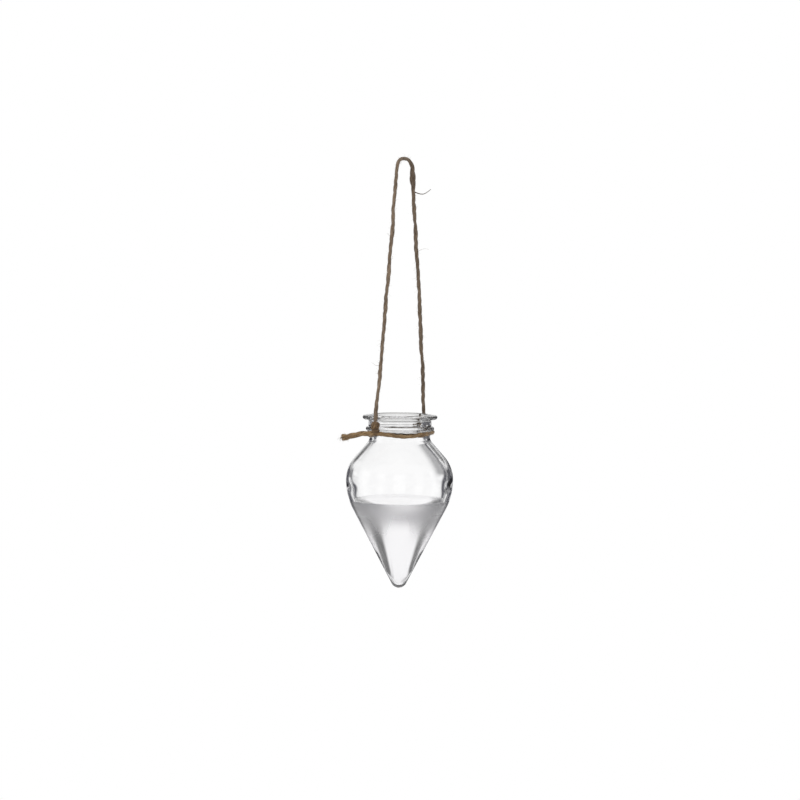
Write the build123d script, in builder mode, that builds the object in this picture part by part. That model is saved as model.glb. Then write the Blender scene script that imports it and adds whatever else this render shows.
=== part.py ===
# Hanging propagation vase: a glass teardrop tied by its neck to a loop of jute twine.
# Millimetres, Z up. The origin is where a hook bears on the inside of the loop.
import os
from math import acos, atan2, cos, degrees, hypot, pi, radians, sin, tan

from build123d import *

os.makedirs("parts", exist_ok=True)

# Twine and the way it hangs
twine_d = 2.4
peg_r = 7.6  # thickest hook or peg that the loop closes over
hang_drop = 176.5  # hook to the top of the lip
tie_turn = 38.0  # degrees from the view axis to the line through the two ties
flange_gap = 0.3  # twine to the edge of the flange
joint_gap = 0.3  # foot of a leg to the knot that it turns on
grip_gap = 0.05  # band to the waist of the neck

# Glass, heights measured down from the top of the lip
vase_h = 122.0
belly_d = 75.0
belly_drop = 46.0
shoulder_r = 24.8  # meridian arc above the belly
lower_r = 45.0  # meridian arc below the belly
shoulder_slope = 41.0  # degrees from the axis
tip_r = 5.6
wall = 3.0
well_r = 2.8  # inside of the tip
waist_round = 4.0
throat_round = 6.0

# Neck, each step measured outward from the mouth
mouth_d = 37.0
waist_wall = 2.7  # the waist under the bead that the twine grips
neck_step = 0.8  # neck above the bead, out from the waist
bead_out = 2.7  # bead, out from the waist
bead_drop = 9.8
bead_h = 2.6
flange_out = 4.1  # flange, out from the neck
flange_t = 2.3
flange_slope = 0.7  # fall of the flange's underside to the neck
lip_crown = 1.6  # flat ring round the mouth
lip_fall = 0.9  # from the crown to the edge of the flange
mouth_round = 1.2
crown_round = 3.0
under_round = 1.0

# Knots
knot_drop = 6.9
knot_r = 3.1
wrap_lean = 32.0
band_drop = 13.9
tail_drop = 12.5  # where the band leaves the front knot as the tail
tail_run = 8.6
short_end = 8.0

twine_r = twine_d / 2
belly_r = belly_d / 2
mouth_r = mouth_d / 2
waist_r = mouth_r + waist_wall
neck_r = waist_r + neck_step
bead_r = waist_r + bead_out
lip_r = neck_r + flange_out
lip_z = -hang_drop
tip_z = lip_z - vase_h
belly_z = lip_z - belly_drop
bead_z = lip_z - bead_drop

# The cone is tangent to the tip and to the lower arc of the belly
tip_centre_z = tip_z + tip_r
lower_c = belly_r - lower_r
upper_c = belly_r - shoulder_r
lower_rise = belly_z - tip_centre_z
cone = acos((tip_r - lower_r) / hypot(lower_c, lower_rise)) - atan2(lower_rise, lower_c)
well_z = tip_centre_z + (well_r - tip_r + wall) / sin(cone)
slope = radians(shoulder_slope)


def on_arc(centre_r, centre_z, radius, angle):
    return centre_r + radius * cos(angle), centre_z + radius * sin(angle)


def shoulder_top(start, radius):
    return radius, start[1] + (start[0] - radius) / tan(slope)


tip_mid = on_arc(0, tip_centre_z, tip_r, -pi / 4 - cone / 2)
tip_out = on_arc(0, tip_centre_z, tip_r, -cone)
cone_out = on_arc(lower_c, belly_z, lower_r, -cone)
lower_mid = on_arc(lower_c, belly_z, lower_r, -cone / 2)
upper_mid = on_arc(upper_c, belly_z, shoulder_r, slope / 2)
arc_out = on_arc(upper_c, belly_z, shoulder_r, slope)
waist_out = shoulder_top(arc_out, waist_r)
bead_low = (waist_r, bead_z - bead_h / 2)
bead_top = (neck_r, bead_z + bead_h / 2)
edge_top = (lip_r, lip_z - lip_fall)
edge_low = (lip_r, lip_z - lip_fall - flange_t)
under_lip = (neck_r, lip_z - lip_fall - flange_t - flange_slope)
crown = (mouth_r + lip_crown, lip_z)
mouth_edge = (mouth_r, lip_z)
arc_in = on_arc(upper_c, belly_z, shoulder_r - wall, slope)
waist_in = shoulder_top(arc_in, mouth_r)
upper_mid_in = on_arc(upper_c, belly_z, shoulder_r - wall, slope / 2)
lower_mid_in = on_arc(lower_c, belly_z, lower_r - wall, -cone / 2)
cone_in = on_arc(lower_c, belly_z, lower_r - wall, -cone)
tip_in = on_arc(0, well_z, well_r, -cone)
well_mid = on_arc(0, well_z, well_r, -pi / 4 - cone / 2)
well_foot = (0, well_z - well_r)


def corner(sketch, point):
    return sketch.vertices().sort_by_distance(Vector(*point))[0]


# The glass, one revolved wall from the lip to the point
with BuildPart() as glass_vessel:
    with BuildSketch(Plane.XZ) as section:
        with BuildLine():
            ThreePointArc((0, tip_z), tip_mid, tip_out)
            Line(tip_out, cone_out)
            ThreePointArc(cone_out, lower_mid, (belly_r, belly_z))
            ThreePointArc((belly_r, belly_z), upper_mid, arc_out)
            Polyline(arc_out, waist_out, bead_low)
            ThreePointArc(bead_low, (bead_r, bead_z), bead_top)
            Polyline(bead_top, under_lip, edge_low, edge_top, crown, mouth_edge)
            Polyline(mouth_edge, waist_in, arc_in)
            ThreePointArc(arc_in, upper_mid_in, (belly_r - wall, belly_z))
            ThreePointArc((belly_r - wall, belly_z), lower_mid_in, cone_in)
            Line(cone_in, tip_in)
            ThreePointArc(tip_in, well_mid, well_foot)
            Line(well_foot, (0, tip_z))
        make_face()
        fillet(corner(section, waist_out), waist_round)
        fillet(corner(section, waist_in), throat_round)
        fillet([corner(section, edge_low), corner(section, edge_top)], 0.45 * flange_t)
        fillet(corner(section, mouth_edge), mouth_round)
        fillet(corner(section, under_lip), under_round)
        fillet(corner(section, crown), crown_round)
    revolve(axis=Axis.Z)
glass_vessel.part.label = "glass_vessel"
export_step(glass_vessel.part, "parts/glass_vessel.step")

# Both ties lie in one upright plane through the axis, whose x runs from the front tie to the back one
turn = radians(tie_turn)
knot_z = lip_z - knot_drop
knot_u = lip_r + twine_r + flange_gap
band_z = lip_z - band_drop
hang_plane = Plane(origin=(0, 0, 0), x_dir=(sin(turn), cos(turn), 0), z_dir=(cos(turn), -sin(turn), 0))
band_plane = Plane(origin=(0, 0, band_z), x_dir=(sin(turn), cos(turn), 0), z_dir=(0, 0, 1))


def twine(path):
    with BuildSketch(Plane(origin=path @ 0, z_dir=path % 0)) as cut:
        Circle(twine_r)
    sweep(sections=cut.sketch, path=path)


def say_tube(name, part, path):
    run = part.volume / (pi * twine_r**2)
    print(name, "path", round(path.length, 1), "volume over section", round(run, 1))


# The loop: each leg passes just outside the flange and runs straight to the bight over the peg
pass_z = lip_z - lip_fall - flange_t / 2
rise = -peg_r - pass_z
lean = acos((peg_r + twine_r) / hypot(knot_u, rise)) - atan2(rise, knot_u)
bight_u = knot_u - (twine_r - pass_z) * tan(lean)
bight_r = 0.45 * 2 * bight_u / tan((pi / 2 - lean) / 2)
foot_z = knot_z + knot_r + joint_gap
foot_u = knot_u + (pass_z - foot_z) * tan(lean)
loop_points = [(-foot_u, foot_z), (-bight_u, twine_r), (bight_u, twine_r), (foot_u, foot_z)]
with BuildPart() as hanging_loop:
    with BuildLine(hang_plane) as loop_line:
        FilletPolyline(*loop_points, radius=bight_r)
    twine(loop_line.wire())
hanging_loop.part.label = "hanging_loop"
export_step(hanging_loop.part, "parts/hanging_loop.step")
say_tube("hanging_loop", hanging_loop.part, loop_line.wire())
print("bight radius", round(bight_r, 2), "legs lean", round(degrees(lean), 2))

# The band: one turn on the waist, drawn out to each tie, that starts as the tail and ends inside the front knot
grip_r = waist_r + twine_r + grip_gap
out_u = knot_u + 0.4 * twine_d
in_u = knot_u - 1.3 * twine_d
fold_r = 0.85 * twine_d
back_r = 3 * twine_d


def tangent_corner(u_back, u_front, side):
    start = acos(grip_r / u_back)
    end = pi - acos(grip_r / u_front)
    reach = grip_r / cos((end - start) / 2)
    angle = side * (start + end) / 2
    return reach * cos(angle), reach * sin(angle), 0


front_out = (-out_u, 0, band_drop - tail_drop)
right = tangent_corner(knot_u, out_u, -1)
left = tangent_corner(knot_u, in_u, 1)
front_in = (-in_u, 0.6 * twine_d, -0.1 * twine_d)
into_knot = (-knot_u + 0.4 * twine_d, 0.5 * twine_d, knot_z - band_z - 0.6 * knot_r)
band_points = [front_out, right, (knot_u, 0, 0), left, front_in, into_knot]
with BuildPart() as neck_band:
    with BuildLine(band_plane) as band_line:
        FilletPolyline(*band_points, radius=[grip_r, back_r, grip_r, fold_r])
    twine(band_line.wire())
neck_band.part.label = "neck_band"
export_step(neck_band.part, "parts/neck_band.step")
say_tube("neck_band", neck_band.part, band_line.wire())

# Least gap of the band to itself, between points more than five diameters apart along it
band_wire = band_line.wire()
spots = [band_wire @ (i / 400) for i in range(401)]
stride = int(5 * twine_d * 400 / band_wire.length)
least = min((spots[i] - spots[j]).length for i in range(401) for j in range(i + stride, 401))
print("band gap to itself", round(least - twine_d, 2), "fold radius", round(fold_r, 2))

# The tail runs straight on from the band and then droops
heading = (Vector(*front_out) - Vector(*right)).normalized()
tail_1 = Vector(*front_out) + heading * tail_run
tail_2 = tail_1 + heading * tail_run + Vector(0, 0, -3.2)
tail_3 = tail_2 + heading * tail_run + Vector(0, 0, -1.5)
with BuildPart() as tail:
    with BuildLine(band_plane) as tail_line:
        FilletPolyline(front_out, tuple(tail_1), tuple(tail_2), tuple(tail_3), radius=[18.0, 30.0])
    twine(tail_line.wire())
tail.part.label = "tail"
export_step(tail.part, "parts/tail.step")
say_tube("tail", tail.part, tail_line.wire())


def wraps(u):
    with Locations(hang_plane.location * Location((u, knot_z, 0))):
        Sphere(knot_r - 0.2 * twine_d)
        Torus(knot_r - twine_r, twine_r, rotation=(-wrap_lean, 0, 0))
        Torus(knot_r - twine_r, twine_r, rotation=(wrap_lean, 0, 0))
        Torus(knot_r - twine_r, twine_r, rotation=(0, 74, 0))


# The front knot: three wraps drawn into a ball, and a lower lobe on the run down to the band
lobe_drop = 0.6 * (tail_drop - knot_drop)
with BuildPart() as front_knot:
    with BuildLine(hang_plane) as core_line:
        Line((-knot_u, knot_z), (-out_u, lip_z - tail_drop))
    twine(core_line.wire())
    wraps(-knot_u)
    with Locations(hang_plane.location * Location((-knot_u - 0.2 * twine_d, knot_z - lobe_drop, 0))):
        Sphere(knot_r - 0.2 * twine_d)
front_knot.part.label = "front_knot"
export_step(front_knot.part, "parts/front_knot.step")

# The back hitch: the same ball, whose twine goes down, under the band and up again
hitch_z = band_z - twine_d
hitch_points = [(knot_u + 0.4 * twine_d, knot_z), (knot_u + 0.5 * twine_d, hitch_z)]
hitch_points += [(waist_r + twine_d, hitch_z), (knot_u - 0.4 * twine_d, knot_z)]
with BuildPart() as back_hitch:
    with BuildLine(hang_plane) as hitch_line:
        FilletPolyline(*hitch_points, radius=fold_r)
    twine(hitch_line.wire())
    wraps(knot_u)
back_hitch.part.label = "back_hitch"
export_step(back_hitch.part, "parts/back_hitch.step")

# The trimmed end that the hitch leaves
end_start = (knot_u + 0.3 * knot_r, knot_z - 0.2 * knot_r, -0.4 * knot_r)
end_tip = (knot_u + 1.1 * knot_r, knot_z - 0.8 * knot_r, -0.4 * knot_r - short_end)
with BuildPart() as trimmed_end:
    with BuildLine(hang_plane) as end_line:
        Line(end_start, end_tip)
    twine(end_line.wire())
trimmed_end.part.label = "trimmed_end"
export_step(trimmed_end.part, "parts/trimmed_end.step")

print("tie axis height", round(knot_z, 2), "reach", round(knot_u, 2), "cone half angle", round(degrees(cone), 2))
print("mouth bore from", round(lip_z - mouth_round, 2), "to", round(waist_in[1] + throat_round * tan(slope / 2), 2))
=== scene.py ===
import math
import random
import bpy
import bmesh
from mathutils import Matrix, Vector, noise


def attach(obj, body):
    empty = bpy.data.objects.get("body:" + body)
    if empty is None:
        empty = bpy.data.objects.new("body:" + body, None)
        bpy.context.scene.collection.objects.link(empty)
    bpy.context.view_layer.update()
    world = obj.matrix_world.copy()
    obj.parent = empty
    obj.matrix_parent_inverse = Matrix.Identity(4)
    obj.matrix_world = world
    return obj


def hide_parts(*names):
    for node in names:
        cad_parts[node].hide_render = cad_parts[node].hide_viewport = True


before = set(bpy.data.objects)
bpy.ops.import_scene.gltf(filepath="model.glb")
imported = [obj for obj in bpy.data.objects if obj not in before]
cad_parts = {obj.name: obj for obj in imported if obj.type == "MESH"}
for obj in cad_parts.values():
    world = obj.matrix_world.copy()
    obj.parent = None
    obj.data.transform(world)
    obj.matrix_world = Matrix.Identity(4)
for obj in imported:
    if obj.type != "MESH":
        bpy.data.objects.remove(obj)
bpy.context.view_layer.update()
scene = bpy.context.scene
scene.view_settings.view_transform = "Standard"
mm = 0.001
print("frame loaded:", sorted(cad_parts))

# small helpers for nodes and pieces


def clamp(value):
    return min(1, max(0, value))


def feed(tree, node, values):
    for key, value in values.items():
        if isinstance(value, bpy.types.NodeSocket):
            tree.links.new(value, node.inputs[key])
        else:
            node.inputs[key].default_value = value


def put(tree, kind, values=None, **settings):
    node = tree.nodes.new(kind)
    for key, value in settings.items():
        setattr(node, key, value)
    feed(tree, node, values or {})
    return node


def sums(tree, operation, a, b=0.0, c=0.0):
    return put(tree, "ShaderNodeMath", {0: a, 1: b, 2: c}, operation=operation).outputs[0]


def between(tree, value, low, high, toLow=0.0, toHigh=1.0):
    limits = {"Value": value, "From Min": low, "From Max": high, "To Min": toLow, "To Max": toHigh}
    return put(tree, "ShaderNodeMapRange", limits, interpolation_type="SMOOTHSTEP").outputs["Result"]


def blendValues(tree, factor, a, b):
    return put(tree, "ShaderNodeMix", {0: factor, 2: a, 3: b}).outputs[0]


def blendColours(tree, factor, a, b):
    return put(tree, "ShaderNodeMix", {0: factor, 6: a, 7: b}, data_type="RGBA").outputs[2]  # colour sockets


def readLayer(tree, name):
    return put(tree, "ShaderNodeAttribute", attribute_name=name).outputs["Fac"]


def newGroup(name, inputs, outputs):
    group = bpy.data.node_groups.new(name, "ShaderNodeTree")
    for way, sockets in (("INPUT", inputs), ("OUTPUT", outputs)):
        for label, kind in sockets.items():
            group.interface.new_socket(name=label, in_out=way, socket_type="NodeSocket" + kind)
    return group, group.nodes.new("NodeGroupInput").outputs, group.nodes.new("NodeGroupOutput")


def newMaterial(name):
    material = bpy.data.materials.new(name)
    material.use_nodes = True
    tree = material.node_tree
    tree.nodes.clear()
    shader = tree.nodes.new("ShaderNodeBsdfPrincipled")
    tree.links.new(shader.outputs[0], tree.nodes.new("ShaderNodeOutputMaterial").inputs[0])
    return material, tree, shader


def srgb(red, green, blue):
    def linear(value):
        value /= 255
        return value / 12.92 if value <= 0.04045 else ((value + 0.055) / 1.055) ** 2.4
    return linear(red), linear(green), linear(blue), 1


def grey(value):
    return value, value, value, 1


def newPiece(name, bm, material, body, sharpAbove=None):
    mesh = bpy.data.meshes.new(name)
    bm.to_mesh(mesh)
    bm.free()
    mesh.shade_smooth()
    if sharpAbove:
        mesh.set_sharp_from_angle(angle=math.radians(sharpAbove))
    mesh.materials.append(material)
    piece = bpy.data.objects.new(name, mesh)
    scene.collection.objects.link(piece)
    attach(piece, body)
    return piece


# camera, at the photograph's place

cameraFacts = {
    "distance": 1500 * mm, "elevation": 3.3, "roll": 0.42, "aim": (-0.1 * mm, 0, -166.6 * mm),
    "lens": 96.7, "sensor": 36, "farClip": 20,
}
tilt = math.radians(cameraFacts["elevation"])
away = Vector((0, -math.cos(tilt), math.sin(tilt)))
lens = bpy.data.cameras.new("camera")
lens.lens = cameraFacts["lens"]
lens.sensor_width = cameraFacts["sensor"]
lens.clip_end = cameraFacts["farClip"]
camera = bpy.data.objects.new("camera", lens)
scene.collection.objects.link(camera)
camera.location = Vector(cameraFacts["aim"]) + away * cameraFacts["distance"]
level = (-away).to_track_quat("-Z", "Y").to_matrix().to_4x4()
camera.rotation_euler = (level @ Matrix.Rotation(math.radians(cameraFacts["roll"]), 4, "Z")).to_euler()
scene.camera = camera
print("camera set")

# jute: fibres run along each ply, with darker and paler bundles

fibreFacts = {
    "slant": 0.22,  # turns round the ply for each diameter along it
    "streakRun": 0.11, "streakScale": 3.2, "streakDetail": 4.0, "streakRough": 0.62,
    "midAt": (0.34, 0.56), "paleAt": (0.56, 0.74),  # streak values where one tone gives way to the next
    "patchRun": 0.12, "patchScale": 1.0, "patchDetail": 2.0, "patchAt": (0.35, 0.68), "patchMost": 0.45,
    "roughAt": (0.3, 0.75), "roughness": (0.92, 0.68),
    "bump": 0.7, "sheenRoughness": 0.5, "specular": 0.25,
}
fibreGroup, given, out = newGroup(
    "twineFibres", {"Dark": "Color", "Mid": "Color", "Pale": "Color", "Fineness": "Float"},
    {"Color": "Color", "Roughness": "Float", "Height": "Float"})
uv = put(fibreGroup, "ShaderNodeUVMap", uv_map="lay").outputs[0]
lay = put(fibreGroup, "ShaderNodeSeparateXYZ", {0: uv}).outputs
slant = sums(fibreGroup, "MULTIPLY_ADD", lay["X"], fibreFacts["slant"], lay["Y"])
turn = sums(fibreGroup, "MULTIPLY", slant, math.tau)
around = put(fibreGroup, "ShaderNodeCombineXYZ", {
    "X": sums(fibreGroup, "COSINE", turn), "Y": sums(fibreGroup, "SINE", turn),
    "Z": sums(fibreGroup, "MULTIPLY", lay["X"], fibreFacts["streakRun"])}).outputs[0]
streak = put(fibreGroup, "ShaderNodeTexNoise", {
    "Vector": around, "Scale": sums(fibreGroup, "MULTIPLY", given["Fineness"], fibreFacts["streakScale"]),
    "Detail": fibreFacts["streakDetail"], "Roughness": fibreFacts["streakRough"]}).outputs["Fac"]
lengthways = put(fibreGroup, "ShaderNodeCombineXYZ", {
    "X": sums(fibreGroup, "MULTIPLY", lay["X"], fibreFacts["patchRun"])}).outputs[0]
patch = put(fibreGroup, "ShaderNodeTexNoise", {
    "Vector": lengthways, "Scale": fibreFacts["patchScale"],
    "Detail": fibreFacts["patchDetail"]}).outputs["Fac"]
toMid = between(fibreGroup, streak, *fibreFacts["midAt"])
toPale = between(fibreGroup, streak, *fibreFacts["paleAt"])
toDark = between(fibreGroup, patch, *fibreFacts["patchAt"], 0.0, fibreFacts["patchMost"])
tone = blendColours(fibreGroup, toMid, given["Dark"], given["Mid"])
tone = blendColours(fibreGroup, toPale, tone, given["Pale"])
feed(fibreGroup, out, {
    "Color": blendColours(fibreGroup, toDark, tone, given["Dark"]),
    "Roughness": between(fibreGroup, streak, *fibreFacts["roughAt"], *fibreFacts["roughness"]),
    "Height": streak})


def juteMaterial(name, look):
    material, tree, shader = newMaterial(name)
    tones = {"Dark": srgb(*look["dark"]), "Mid": srgb(*look["mid"]), "Pale": srgb(*look["pale"])}
    fibres = put(tree, "ShaderNodeGroup", tones, node_tree=fibreGroup)
    feed(tree, fibres, {"Fineness": look["fineness"]})
    bump = put(tree, "ShaderNodeBump", {
        "Height": fibres.outputs["Height"], "Strength": fibreFacts["bump"], "Distance": look["bumpDepth"]})
    # the vertex layer read here pulls the colour to the dark tone: painted shade on the rear leg and in the
    # knots, and a darker slub and darker stray fibres
    feed(tree, shader, {
        "Base Color": blendColours(tree, readLayer(tree, "darkening"), fibres.outputs["Color"], tones["Dark"]),
        "Roughness": fibres.outputs["Roughness"], "Normal": bump.outputs[0],
        "Sheen Weight": look["sheen"], "Sheen Roughness": fibreFacts["sheenRoughness"],
        "Specular IOR Level": fibreFacts["specular"]})
    return material


juteLegs = juteMaterial("juteLegs", {
    "dark": (74, 62, 50), "mid": (144, 124, 104), "pale": (192, 174, 150),
    "fineness": 1.0, "bumpDepth": 0.12 * mm, "sheen": 0.25})
juteTies = juteMaterial("juteTies", {
    "dark": (72, 52, 34), "mid": (158, 129, 92), "pale": (208, 182, 140),
    "fineness": 1.0, "bumpDepth": 0.12 * mm, "sheen": 0.25})
juteHairs = juteMaterial("juteHairs", {
    "dark": (80, 64, 48), "mid": (162, 138, 108), "pale": (210, 194, 166),
    "fineness": 0.6, "bumpDepth": 0.01 * mm, "sheen": 0.3})

# twine: routes are smooth splines, and the plies are laid round the line that a spline gives

twine = {
    "diameter": 2.4 * mm, "plies": 3, "lay": 20.0 * mm, "plyShare": 0.6, "step": 0.55 * mm, "sides": 9,
    "lumps": 0.28, "wobble": 0.224, "uneven": 0.16, "drift": 0.9, "crook": 0.55 * mm,
    "perMetre": {"lumps": 85, "wobble": 210, "drift": 60, "crook": 70},  # how often each of them changes
    "uvShift": (31.7, 11.3),  # so that no two plies or lengths show the same fibres
}
hair = {
    "segments": 4, "sides": 3, "taper": 0.75, "uvStep": 0.4, "uvShift": 900,
    "bend": (0.6, 0.5),  # at the first segment, and what each further one adds
    "outward": (0.25, 1.0), "along": (0.4, 1.1), "curl": 0.34,
    "root": (0.3, 0.46),  # out from the middle of the twine, in diameters
}
stray = {
    "sag": ((0.45, 0.5), (0.8, 0.3)),  # places along a stray fibre, and their shares of its sag
    "step": 0.8 * mm, "resolution": 12, "sides": 5, "taper": 0.6, "uvStep": 0.5,
}
seeds = {
    "hangingLoop": 1, "loopFuzz": 11, "neckBand": 2, "bandFuzz": 12, "tailFray": 13, "frontKnot": 3,
    "frontKnotFuzz": 23, "backHitch": 4, "backHitchFuzz": 24, "trimmedEnd": 5, "trimmedEndFuzz": 31,
}
tieTurn = math.radians(38)
outwards = Vector((math.sin(tieTurn), math.cos(tieTurn), 0))  # from the front tie to the back one
sideways = Vector((-math.cos(tieTurn), math.sin(tieTurn), 0))


def atTie(u, v, z):
    return (outwards * u + sideways * v + Vector((0, 0, z))) * mm


def readSpline(points, resolution):
    line = bpy.data.curves.new("route", "CURVE")
    line.dimensions = "3D"
    line.resolution_u = resolution
    spline = line.splines.new("NURBS")
    spline.points.add(len(points) - 1)
    for entry, point in zip(spline.points, points):
        entry.co = (*point, 1)
    spline.order_u = 3
    spline.use_endpoint_u = True
    spline.resolution_u = resolution
    holder = bpy.data.objects.new("route", line)
    scene.collection.objects.link(holder)
    mesh = bpy.data.meshes.new_from_object(holder)
    route = [vert.co.copy() for vert in mesh.vertices]
    bpy.data.objects.remove(holder)
    bpy.data.meshes.remove(mesh)
    bpy.data.curves.remove(line)
    return route


def layRoute(points, step=twine["step"], resolution=64):
    route = readSpline([atTie(*point) for point in points], resolution)
    done = [0.0]
    for a, b in zip(route, route[1:]):
        done.append(done[-1] + (b - a).length)
    count = max(2, round(done[-1] / step))
    spots, at = [], 0
    for i in range(count + 1):
        want = done[-1] * i / count
        while at < len(route) - 2 and done[at + 1] < want:
            at += 1
        gap = done[at + 1] - done[at]
        spots.append(route[at].lerp(route[at + 1], (want - done[at]) / gap if gap else 0))
    return spots


def lengthOf(spots):
    return sum((b - a).length for a, b in zip(spots, spots[1:]))


def carried(spots):
    last = len(spots) - 1
    ahead = [(spots[min(i + 1, last)] - spots[max(i - 1, 0)]).normalized() for i in range(len(spots))]
    side = ahead[0].orthogonal().normalized()
    frames = []
    for i, along in enumerate(ahead):
        if i:
            side = ahead[i - 1].rotation_difference(along) @ side
            side = (side - along * side.dot(along)).normalized()
        frames.append((along, side, along.cross(side)))
    return frames


def newTwineMesh():
    bm = bmesh.new()
    bm.verts.layers.float.new("darkening")
    return bm, bm.loops.layers.uv.new("lay")


def tube(bm, layer, centres, radii, sides, uvAlong, darkening):
    darkeningLayer = bm.verts.layers.float["darkening"]
    turns = [math.tau * k / sides for k in range(sides)]
    rings = []
    for i, (along, side, cross) in enumerate(carried(centres)):
        spokes = [side * (radii[i] * math.cos(a)) + cross * (radii[i] * math.sin(a)) for a in turns]
        rings.append([bm.verts.new(centres[i] + spoke) for spoke in spokes])
        for vert in rings[i]:
            vert[darkeningLayer] = darkening[i]
    for i in range(len(rings) - 1):
        for k in range(sides):
            corners = ((i, k), (i, k + 1), (i + 1, k + 1), (i + 1, k))
            face = bm.faces.new([rings[row][column % sides] for row, column in corners])
            for loop, (row, column) in zip(face.loops, corners):
                loop[layer].uv = (uvAlong[row], column / sides)
    bm.faces.new(rings[0][::-1])
    bm.faces.new(rings[-1])


def stir(kind, gone, row, column):
    return noise.noise(Vector((gone * twine["perMetre"][kind], row, column)))


def layPlies(bm, layer, spots, seed, swell=lambda share: 1.0, splay=lambda share: 0.0,
             darkening=lambda share: 0.0):
    frames = carried(spots)
    length = lengthOf(spots)
    radius = twine["diameter"] / 2
    plyRadius = radius * twine["plyShare"]
    shares = [i / (len(spots) - 1) for i in range(len(spots))]
    for ply in range(twine["plies"]):
        centres, radii, marks = [], [], []
        for share, spot, (along, side, cross) in zip(shares, spots, frames):
            gone = share * length
            wobble = stir("wobble", gone, seed * 7.3 + ply * 3.1, 0.5)  # odd factors keep the noises apart
            drift = stir("drift", gone, seed * 5.9, ply * 4.7)
            lump = swell(share) * (1 + twine["lumps"] * stir("lumps", gone, seed * 2.7, 9.1))
            crook = [twine["crook"] * stir("crook", gone, seed * 3.3, k) for k in (2.5, 6.5)]
            angle = math.tau * (gone / twine["lay"] + ply / twine["plies"]) + twine["drift"] * drift
            reach = (radius - plyRadius) * lump * (1 + twine["uneven"] * drift) + splay(share) * mm
            centre = spot + side * (reach * math.cos(angle) + crook[0])
            centres.append(centre + cross * (reach * math.sin(angle) + crook[1]))
            radii.append(plyRadius * lump * (1 + twine["wobble"] * wobble))
            marks.append(gone / twine["diameter"] + ply * twine["uvShift"][0] + seed * twine["uvShift"][1])
        tube(bm, layer, centres, radii, twine["sides"], marks, [darkening(share) for share in shares])


def opened(facts, share):
    return facts["most"] * clamp((share - facts["from"]) / (1 - facts["from"])) ** facts["curve"]


def growHair(bm, layer, root, heading, length, thick, bend, mark):
    segments = hair["segments"]
    centres, radii = [root], [thick / 2]
    for k in range(segments):
        heading = (heading + bend * (hair["bend"][0] + hair["bend"][1] * k)).normalized()
        centres.append(centres[-1] + heading * (length / segments))
        radii.append(thick / 2 * (1 - hair["taper"] * (k + 1) / segments))
    marks = [mark + k * hair["uvStep"] for k in range(segments + 1)]
    tube(bm, layer, centres, radii, hair["sides"], marks, [0.0] * (segments + 1))


def growFuzz(bm, layer, spots, facts, seed):
    pick = random.Random(seed)
    frames = carried(spots)
    bare = facts.get("bare", 0)
    for _ in range(int(lengthOf(spots) / mm * facts["perMm"])):
        i = pick.randrange(bare, len(spots) - bare)
        along, side, cross = frames[i]
        angle = pick.uniform(0, math.tau)
        outer = side * math.cos(angle) + cross * math.sin(angle)
        heading = outer * pick.uniform(*hair["outward"])
        heading += along * pick.choice((-1, 1, 1)) * pick.uniform(*hair["along"])
        bend = Vector([pick.uniform(-1, 1) for _ in range(3)]) * hair["curl"]
        root = spots[i] + outer * (twine["diameter"] * pick.uniform(*hair["root"]))
        reach = pick.triangular(*facts["reach"]) * mm
        thick = pick.uniform(*facts["thick"]) * mm
        growHair(bm, layer, root, heading.normalized(), reach, thick, bend, pick.uniform(0, hair["uvShift"]))


def growStray(bm, layer, start, end, thick, sag, dark):
    start, end = Vector(start), Vector(end)
    middle = [start.lerp(end, at) - Vector((0, 0, sag * share)) for at, share in stray["sag"]]
    line = layRoute([start, *middle, end], stray["step"], stray["resolution"])
    radii = [thick / 2 * mm * (1 - stray["taper"] * k / len(line)) for k in range(len(line))]
    marks = [k * stray["uvStep"] for k in range(len(line))]
    tube(bm, layer, line, radii, stray["sides"], marks, [dark] * len(line))


# hanging loop: hook to both ties, with the small sways of a hand-tied leg

loopFacts = {
    "route": [(-27.76, 0, -181.0), (-24.1, -1.0, -148.0), (-19.3, -0.7, -111.5), (-14.6, -1.4, -68.0),
              (-8.5, -1.4, -14.5), (-6.7, -1.5, 1.2), (9.1, -1.5, 1.2), (10.8, -1.6, -14.5),
              (16.2, -0.9, -66.0), (20.4, -1.2, -104.0), (24.7, -0.6, -146.0), (27.76, 0, -181.0)],
    "length": 0.375, "full": 1.15,
    "foot": {"reach": 2.2 * mm, "share": 0.4},  # each leg narrows into its knot
    "slub": {"at": 0.55, "wide": 0.018, "more": 0.6, "darkening": 0.3},  # a thick, dark place in the rear leg
    "rearShade": {"from": 0.49, "sharp": 40, "most": 0.32},  # painted shade: the rear leg, on the shadow side, is darkened
    "fuzz": {"perMm": 2.2, "reach": (0.7, 4.6, 1.6), "thick": (0.05, 0.115),
             "bare": 28},  # steps at each tie, which rubs the fuzz off
    "strays": [  # root, end, thickness, sag, darkness
        ((11.3, -1.5, -21.2), (18.2, -11.6, -19.6), 0.85, 6.5, 1.0),
        ((16.0, -1.1, -63.4), (20.3, -8.8, -61.5), 0.2, -3, 0.3),
        ((-12.9, -1.4, -52.0), (-15.3, 0.5, -50.8), 0.22, 2, 0.5),
        ((-23.2, -0.8, -141.6), (-27.4, 3.6, -139.6), 0.2, 3, 0.3)],
}
loopLine = layRoute(loopFacts["route"])
loopLength = lengthOf(loopLine)


def nearSlub(share):
    return math.exp(-((share - loopFacts["slub"]["at"]) / loopFacts["slub"]["wide"]) ** 2)


def loopSwell(share):
    foot = loopFacts["foot"]
    left = clamp(min(share, 1 - share) * loopLength / foot["reach"])
    full = loopFacts["full"] + loopFacts["slub"]["more"] * nearSlub(share)
    return full * (foot["share"] + (1 - foot["share"]) * left)


# painted shade on the rear leg, plus the darker slub
def loopShadeAndSlub(share):
    rear, slub = loopFacts["rearShade"], loopFacts["slub"]
    return rear["most"] * clamp((share - rear["from"]) * rear["sharp"]) + slub["darkening"] * nearSlub(share)


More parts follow.
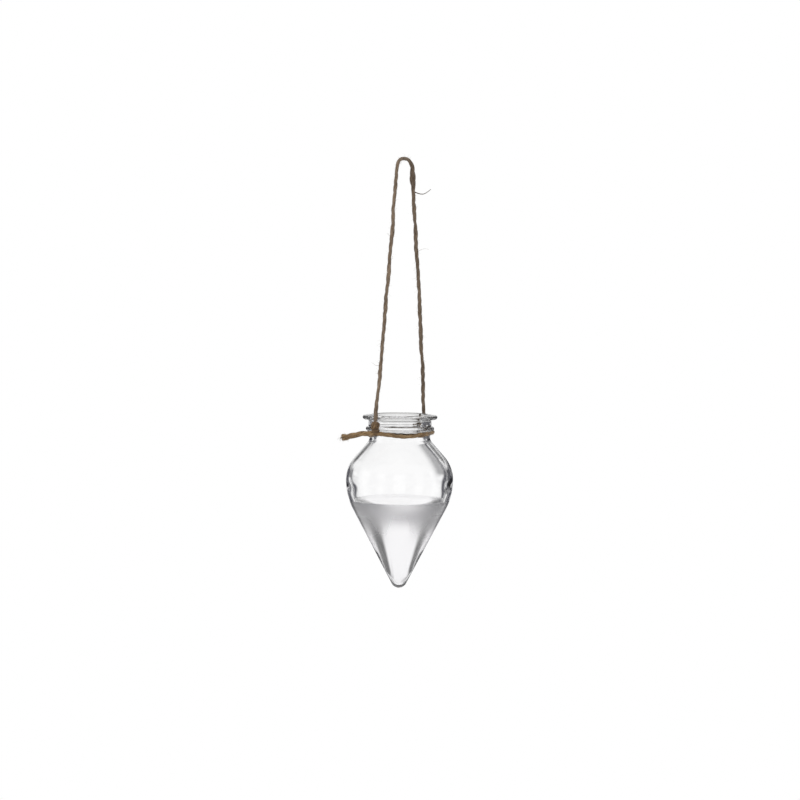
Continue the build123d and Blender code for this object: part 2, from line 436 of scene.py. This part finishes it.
bm, layer = newTwineMesh()
layPlies(bm, layer, loopLine, seeds["hangingLoop"], loopSwell, darkening=loopShadeAndSlub)
hangingLoop = newPiece("hangingLoop", bm, juteLegs, "hanger")
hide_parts("hanging_loop")
bm, layer = newTwineMesh()
growFuzz(bm, layer, loopLine, loopFacts["fuzz"], seeds["loopFuzz"])
for fibre in loopFacts["strays"]:
    growStray(bm, layer, *fibre)
loopFuzz = newPiece("loopFuzz", bm, juteHairs, "hanger")
print("hanging loop:", round(loopLength, 4), "m")

# neck band: one turn of the waist that starts in the front knot and runs out as the tail

bandZ = -190.4
bandTurn = 22.9  # radius of the turn's spline points


def onWaist(degrees, lift=0.0):
    angle = math.radians(degrees)
    return bandTurn * math.cos(angle), bandTurn * math.sin(angle), bandZ + lift


bandFacts = {
    "route": [(-26.64, 1.2, bandZ + 5.1), (-26.2, 2.6, bandZ + 1.2),
              onWaist(157), onWaist(136), onWaist(114), onWaist(92), onWaist(70), onWaist(48, 0.3),
              (27.0, 4.2, bandZ + 0.4), (27.0, -4.2, bandZ + 1.0),
              onWaist(-48, 1.4), onWaist(-70, 1.4), onWaist(-92, 1.0), onWaist(-114, 0.3),
              onWaist(-137, -0.3), (-23.2, -7.0, bandZ + 1.1), (-28.56, 0, bandZ + 2.0),
              (-33.2, 5.9, bandZ + 1.7), (-38.3, 12.4, bandZ), (-40.6, 15.3, bandZ - 0.6),
              (-42.2, 17.3, bandZ - 1.0)],
    "length": 0.174, "full": 1.36,
    "flare": {"from": 0.84, "most": 0.32, "curve": 1},  # the tail swells towards its cut end
    "splay": {"from": 0.94, "most": 0.5, "curve": 1.5},  # and its plies part there
    "fuzz": {"perMm": 2.6, "reach": (0.6, 3.6, 1.4), "thick": (0.035, 0.075)},
    "fray": {"count": 90, "reach": (1.2, 4.6), "thick": (0.1, 0.22), "steps": (2, 9), "spread": 0.42,
             "rootSpread": 0.9 * mm, "bend": (-0.2, 0.2), "droop": -0.12, "uvStep": 3.7},
}
bandLine = layRoute(bandFacts["route"])


def bandSwell(share):
    return bandFacts["full"] * (1 + opened(bandFacts["flare"], share))


bm, layer = newTwineMesh()
layPlies(bm, layer, bandLine, seeds["neckBand"], bandSwell, lambda share: opened(bandFacts["splay"], share))
neckBand = newPiece("neckBand", bm, juteTies, "vase")
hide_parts("neck_band", "tail")
bm, layer = newTwineMesh()
growFuzz(bm, layer, bandLine, bandFacts["fuzz"], seeds["bandFuzz"])
bandFuzz = newPiece("bandFuzz", bm, juteHairs, "vase")
bm, layer = newTwineMesh()
pick = random.Random(seeds["tailFray"])
fray = bandFacts["fray"]
endHeading = (bandLine[-1] - bandLine[-4]).normalized()
for k in range(fray["count"]):
    spread = Vector([pick.gauss(0, fray["spread"]) for _ in range(3)])
    root = bandLine[-pick.randint(*fray["steps"])] + spread * fray["rootSpread"]
    reach = pick.uniform(*fray["reach"]) * mm
    thick = pick.uniform(*fray["thick"]) * mm
    bend = Vector((pick.uniform(*fray["bend"]), pick.uniform(*fray["bend"]), fray["droop"]))
    growHair(bm, layer, root, (endHeading + spread).normalized(), reach, thick, bend, k * fray["uvStep"])
tailFray = newPiece("tailFray", bm, juteTies, "vase")
print("neck band and tail:", round(lengthOf(bandLine), 4), "m")

# knots: three drawn wraps round a core, and a run down to the band

knotFacts = {
    "out": 27.6, "z": -183.4, "core": 2.0, "full": 1.25, "stepShare": 0.8, "wrapPoints": 12,
    "wraps": [(-34, 0, 1.75, 250), (33, 0, 2.05, 240), (0, 76, 2.0, 200)],  # lean, facing, radius, start
    # painted shade: the wraps are darkened, more and less along them, for the shadow inside the knot
    "darkening": {"mean": 0.42, "swing": 0.3, "rate": 40},
    "fuzz": {"perMm": 2.2, "reach": (0.5, 2.6, 1.0), "thick": (0.035, 0.07)},
}


def wrapTurn(side, lean, facing, radius, start):
    points = []
    for k in range(knotFacts["wrapPoints"]):
        angle = math.radians(start) + math.tau * k / knotFacts["wrapPoints"]
        local = Vector((radius * math.cos(angle), 0, radius * math.sin(angle)))
        local.rotate(Matrix.Rotation(math.radians(lean), 3, "X"))
        local.rotate(Matrix.Rotation(math.radians(facing), 3, "Z"))
        points.append((side * (knotFacts["out"] + local.x), local.y, knotFacts["z"] + local.z))
    return points


def knotShade(share):
    darkening = knotFacts["darkening"]
    return darkening["mean"] + darkening["swing"] * math.sin(share * darkening["rate"])


def tieKnot(name, side, run, node):
    points = [point for wrap in knotFacts["wraps"] for point in wrapTurn(side, *wrap)]
    spots = layRoute(points + run, twine["step"] * knotFacts["stepShare"])
    bm, layer = newTwineMesh()
    layPlies(bm, layer, spots, seeds[name], lambda share: knotFacts["full"], darkening=knotShade)
    centre = Matrix.Translation(atTie(side * knotFacts["out"], 0, knotFacts["z"]))
    core = bmesh.ops.create_icosphere(bm, subdivisions=2, radius=knotFacts["core"] * mm, matrix=centre)
    # painted shade: the core inside the wraps is fully dark, for the shadow between them
    for vert in core["verts"]:
        vert[bm.verts.layers.float["darkening"]] = 1.0
    knot = newPiece(name, bm, juteTies, "vase")
    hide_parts(node)
    bm, layer = newTwineMesh()
    growFuzz(bm, layer, spots, knotFacts["fuzz"], seeds[name + "Fuzz"])
    return knot, newPiece(name + "Fuzz", bm, juteHairs, "vase")


frontFacts = {
    "centre": (-27.9, -0.5), "radius": 1.5, "top": -185.8, "fall": 0.15, "points": 17,  # turns under the knot
    "start": 60, "stride": 36, "foot": (-28.3, 0, -189.2),
}
frontRun = []
for k in range(frontFacts["points"]):
    angle = math.radians(frontFacts["start"] + frontFacts["stride"] * k)
    u = frontFacts["centre"][0] - frontFacts["radius"] * math.cos(angle)
    v = frontFacts["centre"][1] + frontFacts["radius"] * math.sin(angle)
    frontRun.append((u, v, frontFacts["top"] - frontFacts["fall"] * k))
frontKnot, frontKnotFuzz = tieKnot("frontKnot", -1, frontRun + [frontFacts["foot"]], "front_knot")

# the hitch goes down outside the band, under it and up inside
hitchRun = [(28.6, 0.2, -185.0), (28.8, 0, -192.8), (23.6, 0, -192.8), (26.6, 0, -184.6)]
backHitch, backHitchFuzz = tieKnot("backHitch", 1, hitchRun, "back_hitch")

endFacts = {
    "route": [(28.53, 1.24, -184.02), (29.4, 3.6, -184.5), (30.6, 6.4, -185.4), (31.01, 9.24, -185.9)],
    "splay": {"from": 0.7, "most": 0.5, "curve": 2},
    "fuzz": {"perMm": 4, "reach": (0.6, 3.0, 1.4), "thick": (0.04, 0.09)},
}
endLine = layRoute(endFacts["route"])
bm, layer = newTwineMesh()
layPlies(bm, layer, endLine, seeds["trimmedEnd"], splay=lambda share: opened(endFacts["splay"], share))
growFuzz(bm, layer, endLine, endFacts["fuzz"], seeds["trimmedEndFuzz"])
trimmedEnd = newPiece("trimmedEnd", bm, juteTies, "vase")
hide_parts("trimmed_end")
print("knots tied")

# glass: one lathe profile from the point up to the lip and down the inside

vessel = {
    "lipZ": -176.5, "height": 122.0, "bellyR": 37.5, "bellyDrop": 46.0, "shoulderR": 24.8, "lowerR": 45.0,
    "slope": 41.0, "tipR": 5.6, "wall": 3.0, "wellR": 2.8, "mouthR": 18.5, "waistR": 21.2, "neckR": 22.0,
    "beadR": 23.9, "beadDrop": 9.8, "beadH": 2.6, "lipR": 26.1, "flangeT": 2.3, "flangeSlope": 0.7,
    "lipFall": 0.9, "lipCrown": 1.6, "crownCut": 0.8, "mouthCut": 1.5,  # cuts beside the corners of the crown
    "waistRound": (1.5, 6), "throatRound": (2.24, 8), "beadRound": (0.35, 3), "underRound": (0.75, 5),
    "edgeRound": (1.0, 6), "crownRound": (0.25, 4), "mouthRound": (1.15, 7),  # length and segments
    "steps": 160, "tipSteps": 14, "wellSteps": 12, "coneCuts": 24, "lowerSteps": 20, "shoulderSteps": 22,
    "beadSteps": 14, "mergeGap": 0.002,
    "rippleBelow": -195, "poleR": 0.4,  # the waves stay under the neck and off the very point
}
blowing = {  # what blowing leaves on the inside: waves, and a soft fold at each side of the belly
    "ripple": 0.17, "fadeTop": (-199, 12), "fadeFoot": (-288, 20),  # from a height, over a length
    "waves": [(0.5, 3, 0.8, 15), (0.35, 5, -1.1, -9), (0.3, 2, 0, 6)],  # size, count, start, pitch
    "fold": 0.5, "foldZ": -226.5, "foldWide": 3.4, "foldTilt": (1.6, 0.4), "foldWave": 0.8, "foldAside": 8,
}
bellyZ = vessel["lipZ"] - vessel["bellyDrop"]
tipZ = vessel["lipZ"] - vessel["height"]
tipCentre = tipZ + vessel["tipR"]
lowerC = vessel["bellyR"] - vessel["lowerR"]
upperC = vessel["bellyR"] - vessel["shoulderR"]
rise = bellyZ - tipCentre
cone = math.acos((vessel["tipR"] - vessel["lowerR"]) / math.hypot(lowerC, rise)) - math.atan2(rise, lowerC)
wellCentre = tipCentre + (vessel["wellR"] - vessel["tipR"] + vessel["wall"]) / math.sin(cone)
slope = math.radians(vessel["slope"])


def cornerAt(bm, r, z):
    return min(bm.verts, key=lambda v: (v.co - Vector((r, 0, z)) * mm).length)


def lineTo(bm, last, r, z, cuts=0):
    new = bmesh.ops.extrude_vert_indiv(bm, verts=[last])["verts"][0]
    new.co = (r * mm, 0, z * mm)
    if cuts:
        bmesh.ops.subdivide_edges(bm, edges=[new.link_edges[0]], cuts=cuts)
        new = cornerAt(bm, r, z)
    return new


def arcTo(bm, last, centreR, centreZ, angle, steps):
    done = bmesh.ops.spin(bm, geom=[last], cent=(centreR * mm, 0, centreZ * mm), axis=(0, -1, 0), angle=angle,
                          steps=steps)
    return next(g for g in done["geom_last"] if isinstance(g, bmesh.types.BMVert))


def roundOff(bm, r, z, length, segments):
    bmesh.ops.bevel(bm, geom=[cornerAt(bm, r, z)], affect="VERTICES", offset=length * mm, segments=segments,
                    profile=0.5, material=-1, clamp_overlap=True)


def lathe(bm, steps):
    bmesh.ops.spin(bm, geom=bm.verts[:] + bm.edges[:], cent=(0, 0, 0), axis=(0, 0, 1), angle=math.tau,
                   steps=steps, use_merge=True)
    bmesh.ops.remove_doubles(bm, verts=bm.verts[:], dist=vessel["mergeGap"] * mm)
    bmesh.ops.recalc_face_normals(bm, faces=bm.faces[:])
    bm.normal_update()


def ripple(angle, z):
    waves = 0.0
    for size, count, start, pitch in blowing["waves"]:
        waves += size * math.sin(count * angle + start + z / pitch)
    top, topFade = blowing["fadeTop"]
    foot, footFade = blowing["fadeFoot"]
    waves *= clamp((top - z) / topFade) * clamp((z - foot) / footFade)
    lean, turn = blowing["foldTilt"]
    off = z - blowing["foldZ"] - lean * math.cos(angle - turn) - blowing["foldWave"] * math.sin(2 * angle)
    fold = math.exp(-(off / blowing["foldWide"]) ** 2) * math.cos(angle) ** blowing["foldAside"]
    return blowing["ripple"] * waves - blowing["fold"] * fold


def waver(verts, extra=0.0):
    for vert in verts:
        r = math.hypot(vert.co.x, vert.co.y)
        if r > vessel["poleR"] * mm:
            more = (ripple(math.atan2(vert.co.y, vert.co.x), vert.co.z / mm) + extra) * mm
            vert.co.x *= 1 + more / r
            vert.co.y *= 1 + more / r


def circleThrough(a, b, c):
    d = 2 * (a.x * (b.y - c.y) + b.x * (c.y - a.y) + c.x * (a.y - b.y))
    x = a.dot(a) * (b.y - c.y) + b.dot(b) * (c.y - a.y) + c.dot(c) * (a.y - b.y)
    y = a.dot(a) * (c.x - b.x) + b.dot(b) * (a.x - c.x) + c.dot(c) * (b.x - a.x)
    return Vector((x, y)) / d


lip, mouth, waist, neck = vessel["lipZ"], vessel["mouthR"], vessel["waistR"], vessel["neckR"]
innerShoulder = vessel["shoulderR"] - vessel["wall"]
arcOut = (upperC + vessel["shoulderR"] * math.cos(slope), bellyZ + vessel["shoulderR"] * math.sin(slope))
arcIn = (upperC + innerShoulder * math.cos(slope), bellyZ + innerShoulder * math.sin(slope))
coneOut = (lowerC + vessel["lowerR"] * math.cos(cone), bellyZ - vessel["lowerR"] * math.sin(cone))
coneIn = (vessel["wellR"] * math.cos(cone), wellCentre - vessel["wellR"] * math.sin(cone))
bead = lip - vessel["beadDrop"]
edgeTop = lip - vessel["lipFall"]
waistFoot = (waist, arcOut[1] + (arcOut[0] - waist) / math.tan(slope))
throatFoot = (mouth, arcIn[1] + (arcIn[0] - mouth) / math.tan(slope))
beadFoot = (waist, bead - vessel["beadH"] / 2)
beadTop = (neck, bead + vessel["beadH"] / 2)
flangeRoot = (neck, edgeTop - vessel["flangeT"] - vessel["flangeSlope"])
flangeFoot = (vessel["lipR"], edgeTop - vessel["flangeT"])
flangeEdge = (vessel["lipR"], edgeTop)
crownEdge = (mouth + vessel["lipCrown"], lip)
crownFall = vessel["lipFall"] / (vessel["lipR"] - crownEdge[0])
besideCrown = (crownEdge[0] + vessel["crownCut"], lip - crownFall * vessel["crownCut"])

bm = bmesh.new()
last = bm.verts.new((0, 0, tipZ * mm))
last = arcTo(bm, last, 0, tipCentre, math.pi / 2 - cone, vessel["tipSteps"])
last = lineTo(bm, last, *coneOut, vessel["coneCuts"])
last = arcTo(bm, last, lowerC, bellyZ, cone, vessel["lowerSteps"])
last = arcTo(bm, last, upperC, bellyZ, slope, vessel["shoulderSteps"])
for corner in (waistFoot, beadFoot):
    last = lineTo(bm, last, *corner)
foot, ridge, top = Vector(beadFoot), Vector((vessel["beadR"], bead)), Vector(beadTop)
beadCentre = circleThrough(foot, ridge, top)
sweep = (foot - beadCentre).angle(ridge - beadCentre) + (ridge - beadCentre).angle(top - beadCentre)
last = arcTo(bm, last, beadCentre.x, beadCentre.y, sweep, vessel["beadSteps"])
for corner in (flangeRoot, flangeFoot, flangeEdge, besideCrown, crownEdge, (mouth, lip),
               (mouth, lip - vessel["mouthCut"]), throatFoot, arcIn):
    last = lineTo(bm, last, *corner)
last = arcTo(bm, last, upperC, bellyZ, -slope, vessel["shoulderSteps"])
last = arcTo(bm, last, lowerC, bellyZ, -cone, vessel["lowerSteps"])
last = lineTo(bm, last, *coneIn, vessel["coneCuts"])
arcTo(bm, last, 0, wellCentre, cone - math.pi / 2, vessel["wellSteps"])
for corner, name in ((waistFoot, "waistRound"), (throatFoot, "throatRound"), (beadFoot, "beadRound"),
                     (beadTop, "beadRound"), (flangeRoot, "underRound"), (flangeFoot, "edgeRound"),
                     (flangeEdge, "edgeRound"), (crownEdge, "crownRound"), ((mouth, lip), "mouthRound")):
    roundOff(bm, *corner, *vessel[name])
lathe(bm, vessel["steps"])
inside = [v for v in bm.verts if v.normal.x * v.co.x + v.normal.y * v.co.y < 0]
waver([v for v in inside if v.co.z < vessel["rippleBelow"] * mm])

glassLook = {
    "rimDeep": 1.3, "rimWide": 0.4, "flangeDeep": 1.4, "flangeFade": 0.8,  # where the lip is painted grey, in mm
    "flangeShare": 0.22,  # of the rim's grey
    "rippleScale": 55.0, "smearScale": 130.0, "haze": 0.025, "bump": 0.12, "bumpDepth": 0.6 * mm,
    "clear": ((1.0, 1.0, 1.0, 1), (0.994, 0.993, 0.996, 1)), "thick": (0.46, 0.46, 0.45, 1),
    "bend": 1.5, "gloss": 0.35,
}
rimShadeLayer = bm.verts.layers.float.new("thick")  # painted shade: the rim and the flange's edge are greyed, for the dark lines that the lip shows
for vert in bm.verts:
    r, z = math.hypot(vert.co.x, vert.co.y) / mm, vert.co.z / mm
    flange = clamp((z - flangeFoot[1] + glassLook["flangeDeep"]) / glassLook["flangeFade"])
    rim = z > lip - glassLook["rimDeep"] and r < crownEdge[0] + glassLook["rimWide"]
    vert[rimShadeLayer] = 1.0 if rim else glassLook["flangeShare"] * flange

rippleFacts = {"stretch": (1.0, 1.0, 0.45), "swirlDetail": 1.5, "smearDetail": 3.0, "hazeAt": (0.5, 0.8)}
rippleGroup, given, out = newGroup(
    "blownRipple", {"Scale": "Float", "Smear": "Float"}, {"Height": "Float", "Haze": "Float"})
place = put(rippleGroup, "ShaderNodeTexCoord").outputs["Object"]
drawn = put(rippleGroup, "ShaderNodeMapping", {"Vector": place, "Scale": rippleFacts["stretch"]}).outputs[0]
swirl = put(rippleGroup, "ShaderNodeTexNoise", {
    "Vector": drawn, "Scale": given["Scale"], "Detail": rippleFacts["swirlDetail"]}).outputs["Fac"]
smear = put(rippleGroup, "ShaderNodeTexNoise", {
    "Vector": place, "Scale": given["Smear"], "Detail": rippleFacts["smearDetail"]}).outputs["Fac"]
feed(rippleGroup, out, {"Height": swirl, "Haze": between(rippleGroup, smear, *rippleFacts["hazeAt"])})

clearGlass, tree, shader = newMaterial("clearGlass")
blown = put(tree, "ShaderNodeGroup", {"Scale": glassLook["rippleScale"], "Smear": glassLook["smearScale"]},
            node_tree=rippleGroup).outputs
bump = put(tree, "ShaderNodeBump", {
    "Height": blown["Height"], "Strength": glassLook["bump"], "Distance": glassLook["bumpDepth"]})
clear = blendColours(tree, blown["Height"], *glassLook["clear"])
# painted shade: the glass colour turns grey where the thick layer is set, at the rim and flange
feed(tree, shader, {
    "Base Color": blendColours(tree, readLayer(tree, "thick"), clear, glassLook["thick"]),
    "Roughness": between(tree, blown["Haze"], 0.0, 1.0, 0.0, glassLook["haze"]), "Normal": bump.outputs[0],
    "Transmission Weight": 1.0, "IOR": glassLook["bend"], "Specular Tint": grey(glassLook["gloss"])})
glassVessel = newPiece("glassVessel", bm, clearGlass, "vase")
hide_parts("glass_vessel")
print("glass lathed:", len(glassVessel.data.polygons), "faces")

# water: it wets the inside of the wall and climbs it a little

water = {
    "level": -236.3, "climb": 0.3, "reach": 1.0, "wetting": 0.12, "steps": 160, "rimSteps": 8,
    "rings": (0.25, 0.6, 1.1, 1.8, 2.8, 4.2, 6.2, 9.0, 14.0, 21.0),  # inwards from the wall
    "film": {"end": 17.0, "sideAt": 0.47, "sideWide": 0.3, "sideMore": 1.6, "sideLift": 0.2, "rough": 0.5},
    # painted shade under the waterline: depth, width, fall-off to the sides, left-right lean and grey
    "waterShade": {"at": 8.2, "wide": 5.4, "aside": 4, "lean": 0.6, "tone": (0.66, 0.65, 0.67, 1)},
    "clear": ((0.997, 0.991, 1.0, 1), (0.987, 0.981, 0.991, 1)), "rippleScale": 30.0, "smearScale": 60.0,
    "bend": 1.33, "sharpAbove": 50, "wallTilt": 0.5, "leastR": 0.1, "bubbleDrop": 0.9,
    "bubbles": [(-62, 31.2, 0.42), (-38, 31.0, 0.34), (-74, 30.6, 0.3), (-118, 31.3, 0.36), (20, 31.2, 0.4),
                (140, 31.0, 0.33)],  # degrees round, distance from the axis, radius
}
innerLower = vessel["lowerR"] - vessel["wall"]
rimAngle = math.asin((bellyZ - water["level"] - water["climb"]) / innerLower)
bm = bmesh.new()
last = bm.verts.new((0, 0, (wellCentre - vessel["wellR"]) * mm))
last = arcTo(bm, last, 0, wellCentre, math.pi / 2 - cone, vessel["wellSteps"])
last = lineTo(bm, last, lowerC + innerLower * math.cos(cone), bellyZ - innerLower * math.sin(cone),
              vessel["coneCuts"])
last = arcTo(bm, last, lowerC, bellyZ, cone - rimAngle, water["rimSteps"])
rimR = last.co.x / mm
for inward in (*water["rings"], rimR):
    climb = water["climb"] * math.exp(-inward / water["reach"])
    last = lineTo(bm, last, rimR - inward, water["level"] + climb)
lathe(bm, water["steps"])
film, waterShade = water["film"], water["waterShade"]
filmLayer = bm.verts.layers.float.new("film")  # the film that standing water leaves on the wall
waterShadeLayer = bm.verts.layers.float.new("waterShade")  # painted shade: a grey band under the waterline, strongest on the front and back of the wall and less at the sides
walls = [v for v in bm.verts if v.normal.z < water["wallTilt"]]
for vert in walls:
    r = max(math.hypot(vert.co.x, vert.co.y), water["leastR"] * mm)
    across = vert.co.y / r
    depth = water["level"] - vert.co.z / mm
    aside = math.sqrt(max(0, 1 - across ** 2))
    deeper = max(0, 1 - ((aside - film["sideAt"]) / film["sideWide"]) ** 2)
    end = film["end"] * (1 + film["sideMore"] * deeper)
    vert[filmLayer] = clamp((1 - depth / end) * (1 + film["sideLift"] * (1 - across ** 2)))
    shadeBand = math.exp(-((depth - waterShade["at"]) / waterShade["wide"]) ** 2)
    vert[waterShadeLayer] = shadeBand * across ** waterShade["aside"] * (1 + waterShade["lean"] * vert.co.x / r)
waver(walls, water["wetting"])
for degrees, r, radius in water["bubbles"]:
    angle = math.radians(degrees)
    centre = Vector((r * math.cos(angle), r * math.sin(angle), water["level"] - water["bubbleDrop"])) * mm
    bubble = bmesh.ops.create_icosphere(bm, subdivisions=2, radius=radius * mm,
                                        matrix=Matrix.Translation(centre))
    bmesh.ops.reverse_faces(bm, faces=list({f for v in bubble["verts"] for f in v.link_faces}))

stillWater, tree, shader = newMaterial("stillWater")
calm = put(tree, "ShaderNodeGroup", {"Scale": water["rippleScale"], "Smear": water["smearScale"]},
           node_tree=rippleGroup).outputs
clear = blendColours(tree, calm["Height"], *water["clear"])
# painted shade: the grey band under the waterline is mixed into the water's colour
feed(tree, shader, {
    "Base Color": blendColours(tree, readLayer(tree, "waterShade"), clear, waterShade["tone"]),
    "Roughness": between(tree, readLayer(tree, "film"), 0.0, 1.0, 0.0, film["rough"]),
    "Transmission Weight": 1.0, "IOR": water["bend"]})
newPiece("waterBody", bm, stillWater, "vase", sharpAbove=water["sharpAbove"])
print("water poured")

# studio: white all round, with dark ribs that only glass and gloss see
# angles are degrees off the nearest square view, heights are the sine of the elevation

studio = {
    "plain": 0.8,  # what lights all other surfaces
    # the ribs, which lean to one side and get narrower and softer high up
    "ribFrom": (10.5, 14.5), "ribTo": (34.5, 38.0), "ribFoot": (-0.45, -0.33),
    "ribTone": (0.1, 0.1, 0.115, 1), "lowSkew": 0.22, "skewAt": (-0.02, 0.06),
    "highAt": (0.2, 0.26), "highFrom": (14.0, 20.0), "highTo": (29.0, 37.0), "highSkew": 0.1,
    "highTone": 0.12,
    # between two ribs it is dark near the horizon
    "betweenTone": 0.16, "betweenAhead": (-0.06, 0.0), "betweenFoot": (-0.19, -0.13),
    "betweenTop": (0.15, 0.25),
    # a grey band above the horizon
    "bandFoot": (0.09, 0.135), "bandTop": (0.2, 0.235), "bandSide": (2.0, 22.0), "bandTone": (0.86, 0.46),
    "bandSkew": -0.75,
    # a dim card to the right of the backdrop
    "cardSide": (3.4, 7.0), "cardFoot": (-0.11, -0.045), "cardTop": (0.09, 0.135), "cardAhead": 0.7,
    "cardDim": 0.66, "cardTone": (0.1, 0.1, 0.11, 1),
    # the dim roof that the lip and the point pick up
    "roofAt": (0.38, 0.52), "roofTone": 0.14,
}
white = grey(1.0)
world = bpy.data.worlds.new("studio")
world.use_nodes = True
scene.world = world
sky = world.node_tree
sky.nodes.clear()
ray = put(sky, "ShaderNodeLightPath").outputs
facing = put(sky, "ShaderNodeSeparateXYZ", {0: put(sky, "ShaderNodeTexCoord").outputs["Generated"]}).outputs
quarters = sums(sky, "DIVIDE", sums(sky, "ARCTAN2", facing["X"], facing["Y"]), math.radians(90))
quarters = sums(sky, "SUBTRACT", sums(sky, "FRACT", sums(sky, "ADD", quarters, 0.5)), 0.5)
aside = sums(sky, "MULTIPLY", quarters, 90.0)
offSquare = sums(sky, "ABSOLUTE", aside)


def times(*values):
    product = values[0]
    for value in values[1:]:
        product = sums(sky, "MULTIPLY", product, value)
    return product


def above(limits):
    return between(sky, facing["Z"], *limits)


def below(limits):
    return between(sky, facing["Z"], *limits, 1.0, 0.0)


def skewed(skew):
    return sums(sky, "MULTIPLY_ADD", aside, skew, offSquare)


high = above(studio["highAt"])
lowSkew = between(sky, facing["Z"], *studio["skewAt"], 0.0, studio["lowSkew"])
lowRibs = between(sky, skewed(lowSkew), *studio["ribFrom"])
highRibs = times(between(sky, skewed(studio["highSkew"]), *studio["highFrom"]),
                 between(sky, offSquare, *studio["highTo"], 1.0, 0.0))
ribs = times(blendValues(sky, high, lowRibs, highRibs), above(studio["ribFoot"]))
ribTone = blendColours(sky, high, studio["ribTone"], grey(studio["highTone"]))
seen = blendColours(sky, ribs, white, ribTone)

band = times(above(studio["bandFoot"]), below(studio["bandTop"]))
bandTone = between(sky, skewed(studio["bandSkew"]), *studio["bandSide"], *studio["bandTone"])
bandTone = put(sky, "ShaderNodeCombineColor", {k: bandTone for k in range(3)}).outputs[0]
seen = blendColours(sky, band, seen, bandTone)

sameSide = sums(sky, "GREATER_THAN", times(facing["X"], facing["Y"]), 0.0)
ahead = times(sums(sky, "GREATER_THAN", facing["Y"], 0.0), above(studio["betweenAhead"]))
nearHorizon = blendValues(sky, sameSide, ahead, above(studio["betweenFoot"]))
nearHorizon = times(nearHorizon, below(studio["betweenTop"]))
betweenTone = blendColours(sky, nearHorizon, white, grey(studio["betweenTone"]))
seen = blendColours(sky, between(sky, offSquare, *studio["ribTo"]), seen, betweenTone)

card = times(between(sky, aside, *studio["cardSide"]), above(studio["cardFoot"]), below(studio["cardTop"]),
             sums(sky, "GREATER_THAN", facing["Y"], studio["cardAhead"]), studio["cardDim"])
seen = blendColours(sky, card, seen, studio["cardTone"])
seen = blendColours(sky, above(studio["roofAt"]), seen, grey(studio["roofTone"]))

clearRay = sums(sky, "MAXIMUM", ray["Is Glossy Ray"], ray["Is Transmission Ray"])
light = blendColours(sky, clearRay, grey(studio["plain"]), seen)
light = blendColours(sky, ray["Is Camera Ray"], light, white)
backdrop = put(sky, "ShaderNodeBackground", {"Color": light, "Strength": 1.0})
sky.links.new(backdrop.outputs[0], sky.nodes.new("ShaderNodeOutputWorld").inputs[0])

floorFacts = {
    "z": -900 * mm, "side": 1.0, "squares": 8,
    "grain": 40.0, "grainDetail": 3.0, "tones": (0.86, 0.9), "roughness": 0.9,
}
bm = bmesh.new()
bmesh.ops.create_grid(bm, x_segments=floorFacts["squares"], y_segments=floorFacts["squares"],
                      size=floorFacts["side"] / 2, matrix=Matrix.Translation((0, 0, floorFacts["z"])))
mesh = bpy.data.meshes.new("floor")
bm.to_mesh(mesh)
bm.free()
floor = bpy.data.objects.new("floor", mesh)
scene.collection.objects.link(floor)
paleFloor, tree, shader = newMaterial("paleFloor")
place = put(tree, "ShaderNodeTexCoord").outputs["Object"]
grain = put(tree, "ShaderNodeTexNoise", {
    "Vector": place, "Scale": floorFacts["grain"], "Detail": floorFacts["grainDetail"]}).outputs["Fac"]
feed(tree, shader, {
    "Base Color": blendColours(tree, grain, *[grey(tone) for tone in floorFacts["tones"]]),
    "Roughness": floorFacts["roughness"]})
mesh.materials.append(paleFloor)

lampFacts = {"power": 12.0, "size": 1.2, "place": (-0.75, -0.95, 1.6), "aim": (0, 0, -0.2)}
lamp = bpy.data.lights.new("softLamp", "AREA")
lamp.shape = "SQUARE"
lamp.size = lampFacts["size"]
lamp.energy = lampFacts["power"]
softLamp = bpy.data.objects.new("softLamp", lamp)
scene.collection.objects.link(softLamp)
softLamp.location = lampFacts["place"]
softLamp.rotation_euler = (Vector(lampFacts["aim"]) - softLamp.location).to_track_quat("-Z", "Y").to_euler()
softLamp.visible_glossy = False
softLamp.visible_transmission = False
print("studio lit")
